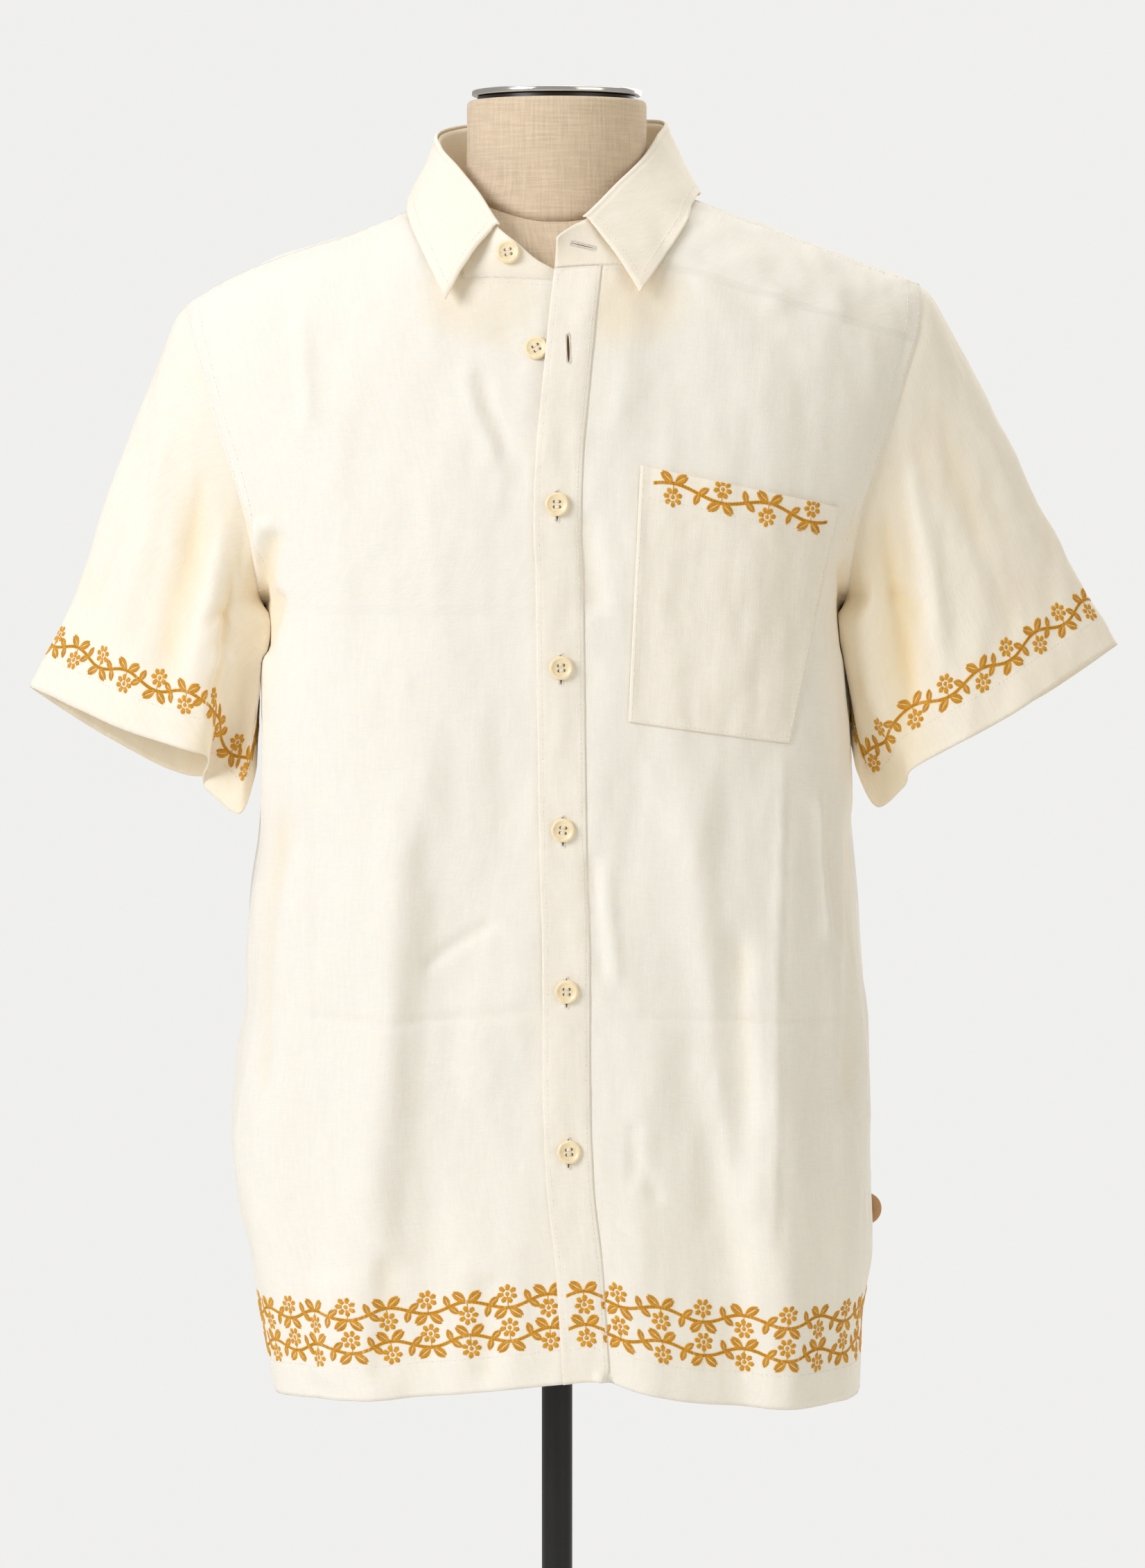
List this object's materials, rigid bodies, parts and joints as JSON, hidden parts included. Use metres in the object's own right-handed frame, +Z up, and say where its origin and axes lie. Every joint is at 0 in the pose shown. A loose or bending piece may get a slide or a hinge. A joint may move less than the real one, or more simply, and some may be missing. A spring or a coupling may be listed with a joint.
{
  "type": "short-sleeve shirt on a limbless dress form with a stand",
  "caption": "Button-front short-sleeve shirt of woven cloth with a turned-down collar and a chest pocket, hung on a limbless dress form on a pole with a round base.",
  "frame": {"origin": "centre of the base plate's underside, on the floor", "axes": "+Z up, -Y the side the shirt closes on, +X the wearer's left"},
  "size_m": [0.6959, 0.38, 1.5185],
  "materials": {
    "cloth": "plain-woven cotton and linen, cream",
    "cloth_warm": "the same cloth seen double or turned from the light, warmer cream",
    "button": "pale yellow-cream, polished",
    "tab": "plain tan tab",
    "linen": "oatmeal linen stretched over a stiff shell",
    "chrome": "polished",
    "black_metal": "black, satin"
  },
  "bodies": {
    "root": {"front_right": "cloth", "front_left": "cloth", "button_band": "cloth_warm", "back": "cloth", "yoke": "cloth", "sleeve_left": "cloth_warm", "sleeve_right": "cloth_warm", "collar_stand": "cloth_warm", "collar_leaf": "cloth_warm", "pocket": "cloth_warm", "button_1": "button", "button_2": "button", "button_3": "button", "button_4": "button", "button_5": "button", "button_open": "button", "button_neck": "button", "side_tab": "tab", "form_torso": "linen", "form_neck": "linen", "neck_gap_plate": "black_metal", "neck_plate": "chrome", "base_plate": "black_metal", "pole_socket": "black_metal", "pole": "black_metal"}
  },
  "joints": []
}
